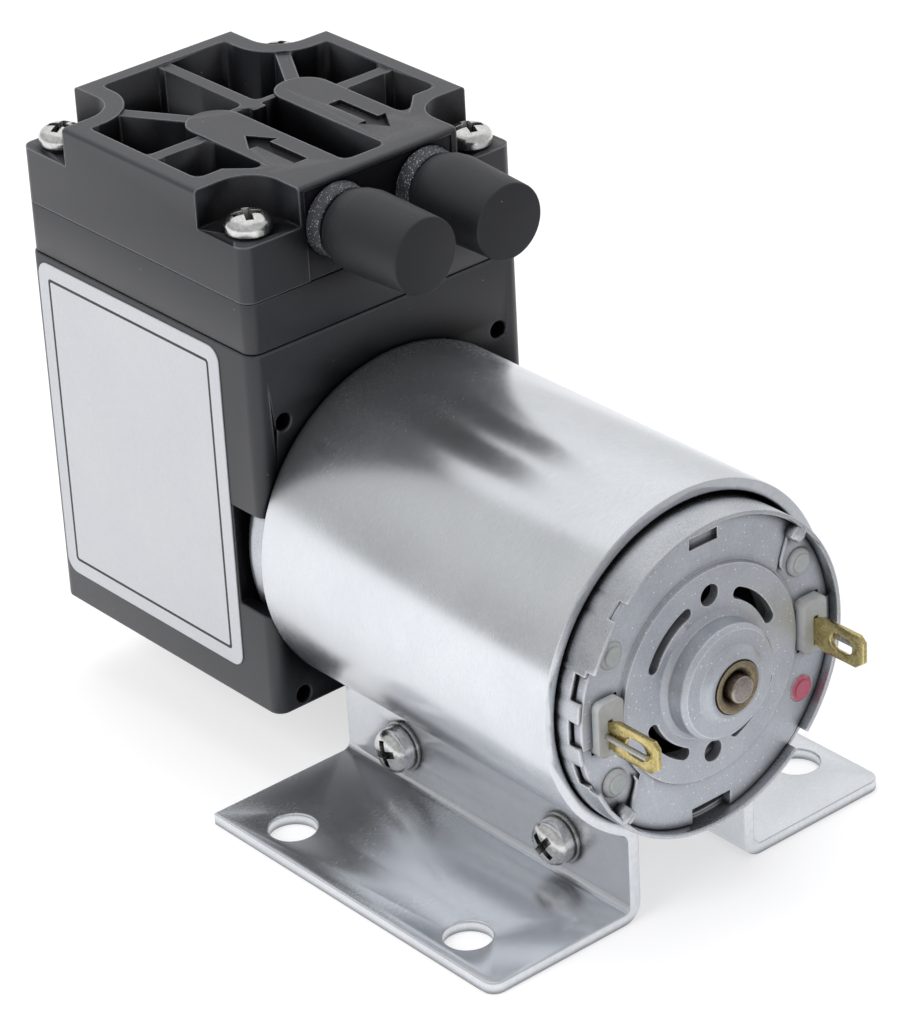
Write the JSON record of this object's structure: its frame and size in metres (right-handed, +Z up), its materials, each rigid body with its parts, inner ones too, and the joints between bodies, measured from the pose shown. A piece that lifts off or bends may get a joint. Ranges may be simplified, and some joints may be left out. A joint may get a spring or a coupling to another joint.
{
  "type": "mini diaphragm vacuum pump",
  "caption": "Small DC motor in a clamp bracket with feet, driving a boxy black diaphragm pump head with a ribbed cover and two capped hose ports side by side.",
  "frame": {"origin": "centre of the four foot holes, on the underside of the feet", "axes": "+Y along the motor axis from the motor towards the pump head, +Z up, +X to the right seen from the motor's end"},
  "size_m": [0.0434, 0.0742, 0.0541],
  "materials": {
    "bracket_aluminium": "bright rolled sheet, sheared edges",
    "can_steel": "satin plated drawn steel",
    "bell_steel": "satin plated pressed steel",
    "screw_steel": "bright zinc plate",
    "spring_steel": "plain spring steel",
    "shaft_steel": "ground and polished steel",
    "bearing_steel": "polished bearing steel",
    "core_steel": "stacked silicon steel sheets",
    "nylon": "natural nylon",
    "terminal_brass": "stamped brass, lightly tarnished",
    "tinned_wire": "tinned copper wire",
    "spring_bronze": "phosphor bronze strip",
    "sintered_bronze": "oiled sintered bronze",
    "carbon": "pressed carbon",
    "ferrite": "ground ferrite",
    "magnet_wire": "enamelled copper wire",
    "commutator_copper": "turned copper",
    "phenolic": "moulded phenolic",
    "hub_aluminium": "machined",
    "disc_aluminium": "machined",
    "case_plastic": "glass-filled nylon, satin black",
    "cover_plastic": "glass-filled nylon, satin black",
    "rod_plastic": "natural acetal",
    "diaphragm_rubber": "moulded EPDM",
    "valve_rubber": "moulded silicone",
    "seal_rubber": "moulded nitrile",
    "cap_rubber": "matt black soft vinyl",
    "label_film": "bare silvery polyester film"
  },
  "bodies": {
    "pump_body": {"clamp_bracket": "bracket_aluminium", "clamp_screws": "screw_steel", "clamp_spring_washers": "screw_steel", "clamp_flat_washers": "screw_steel", "clamp_nuts": "screw_steel", "motor_can": "can_steel", "end_bell": "bell_steel", "brush_holder": "nylon", "left_terminal": "terminal_brass", "right_terminal": "terminal_brass", "suppressor_leads": "tinned_wire", "brush_arms": "spring_bronze", "carbon_brushes": "carbon", "magnets": "ferrite", "magnet_springs": "spring_steel", "rear_bush": "sintered_bronze", "front_bush": "sintered_bronze", "motor_screws": "screw_steel", "crankcase": "case_plastic", "rear_cover": "case_plastic", "diaphragm": "diaphragm_rubber", "valve_plate": "case_plastic", "inlet_valve": "valve_rubber", "outlet_valve": "valve_rubber", "port_seals": "seal_rubber", "top_cover": "cover_plastic", "cover_screws": "screw_steel", "rating_label": "label_film"},
    "rotor": {"motor_shaft": "shaft_steel", "armature_core": "core_steel", "windings": "magnet_wire", "commutator": "commutator_copper", "commutator_hub": "phenolic", "crank_hub": "hub_aluminium", "hub_set_screw": "spring_steel", "bearing_inner_ring": "bearing_steel"},
    "rod": {"connecting_rod": "rod_plastic", "bearing_outer_ring": "bearing_steel", "bearing_balls": "bearing_steel", "clamp_disc": "disc_aluminium", "clamp_disc_screw": "screw_steel"},
    "inlet_plug": {"inlet_cap": "cap_rubber"},
    "outlet_plug": {"outlet_cap": "cap_rubber"}
  },
  "joints": [
    {"name": "rotor_spin", "type": "hinge", "parent": "pump_body", "child": "rotor", "pos_m": [0, 0, 0.02153], "axis": [0, 1, 0], "continuous": true},
    {"name": "rod_pivot", "type": "hinge", "parent": "rotor", "child": "rod", "pos_m": [0, 0.03235, 0.02004], "axis": [0, 1, 0], "continuous": true, "deforming": ["diaphragm"]},
    {"name": "inlet_cap_pull", "type": "slide", "parent": "pump_body", "child": "inlet_plug", "axis": [0, -1, 0], "range_m": [0, 0.012]},
    {"name": "outlet_cap_pull", "type": "slide", "parent": "pump_body", "child": "outlet_plug", "axis": [0, -1, 0], "range_m": [0, 0.012]}
  ],
  "couplings": [
    {"joint": "rod_pivot", "follows": "rotor_spin", "ratio": -1}
  ]
}
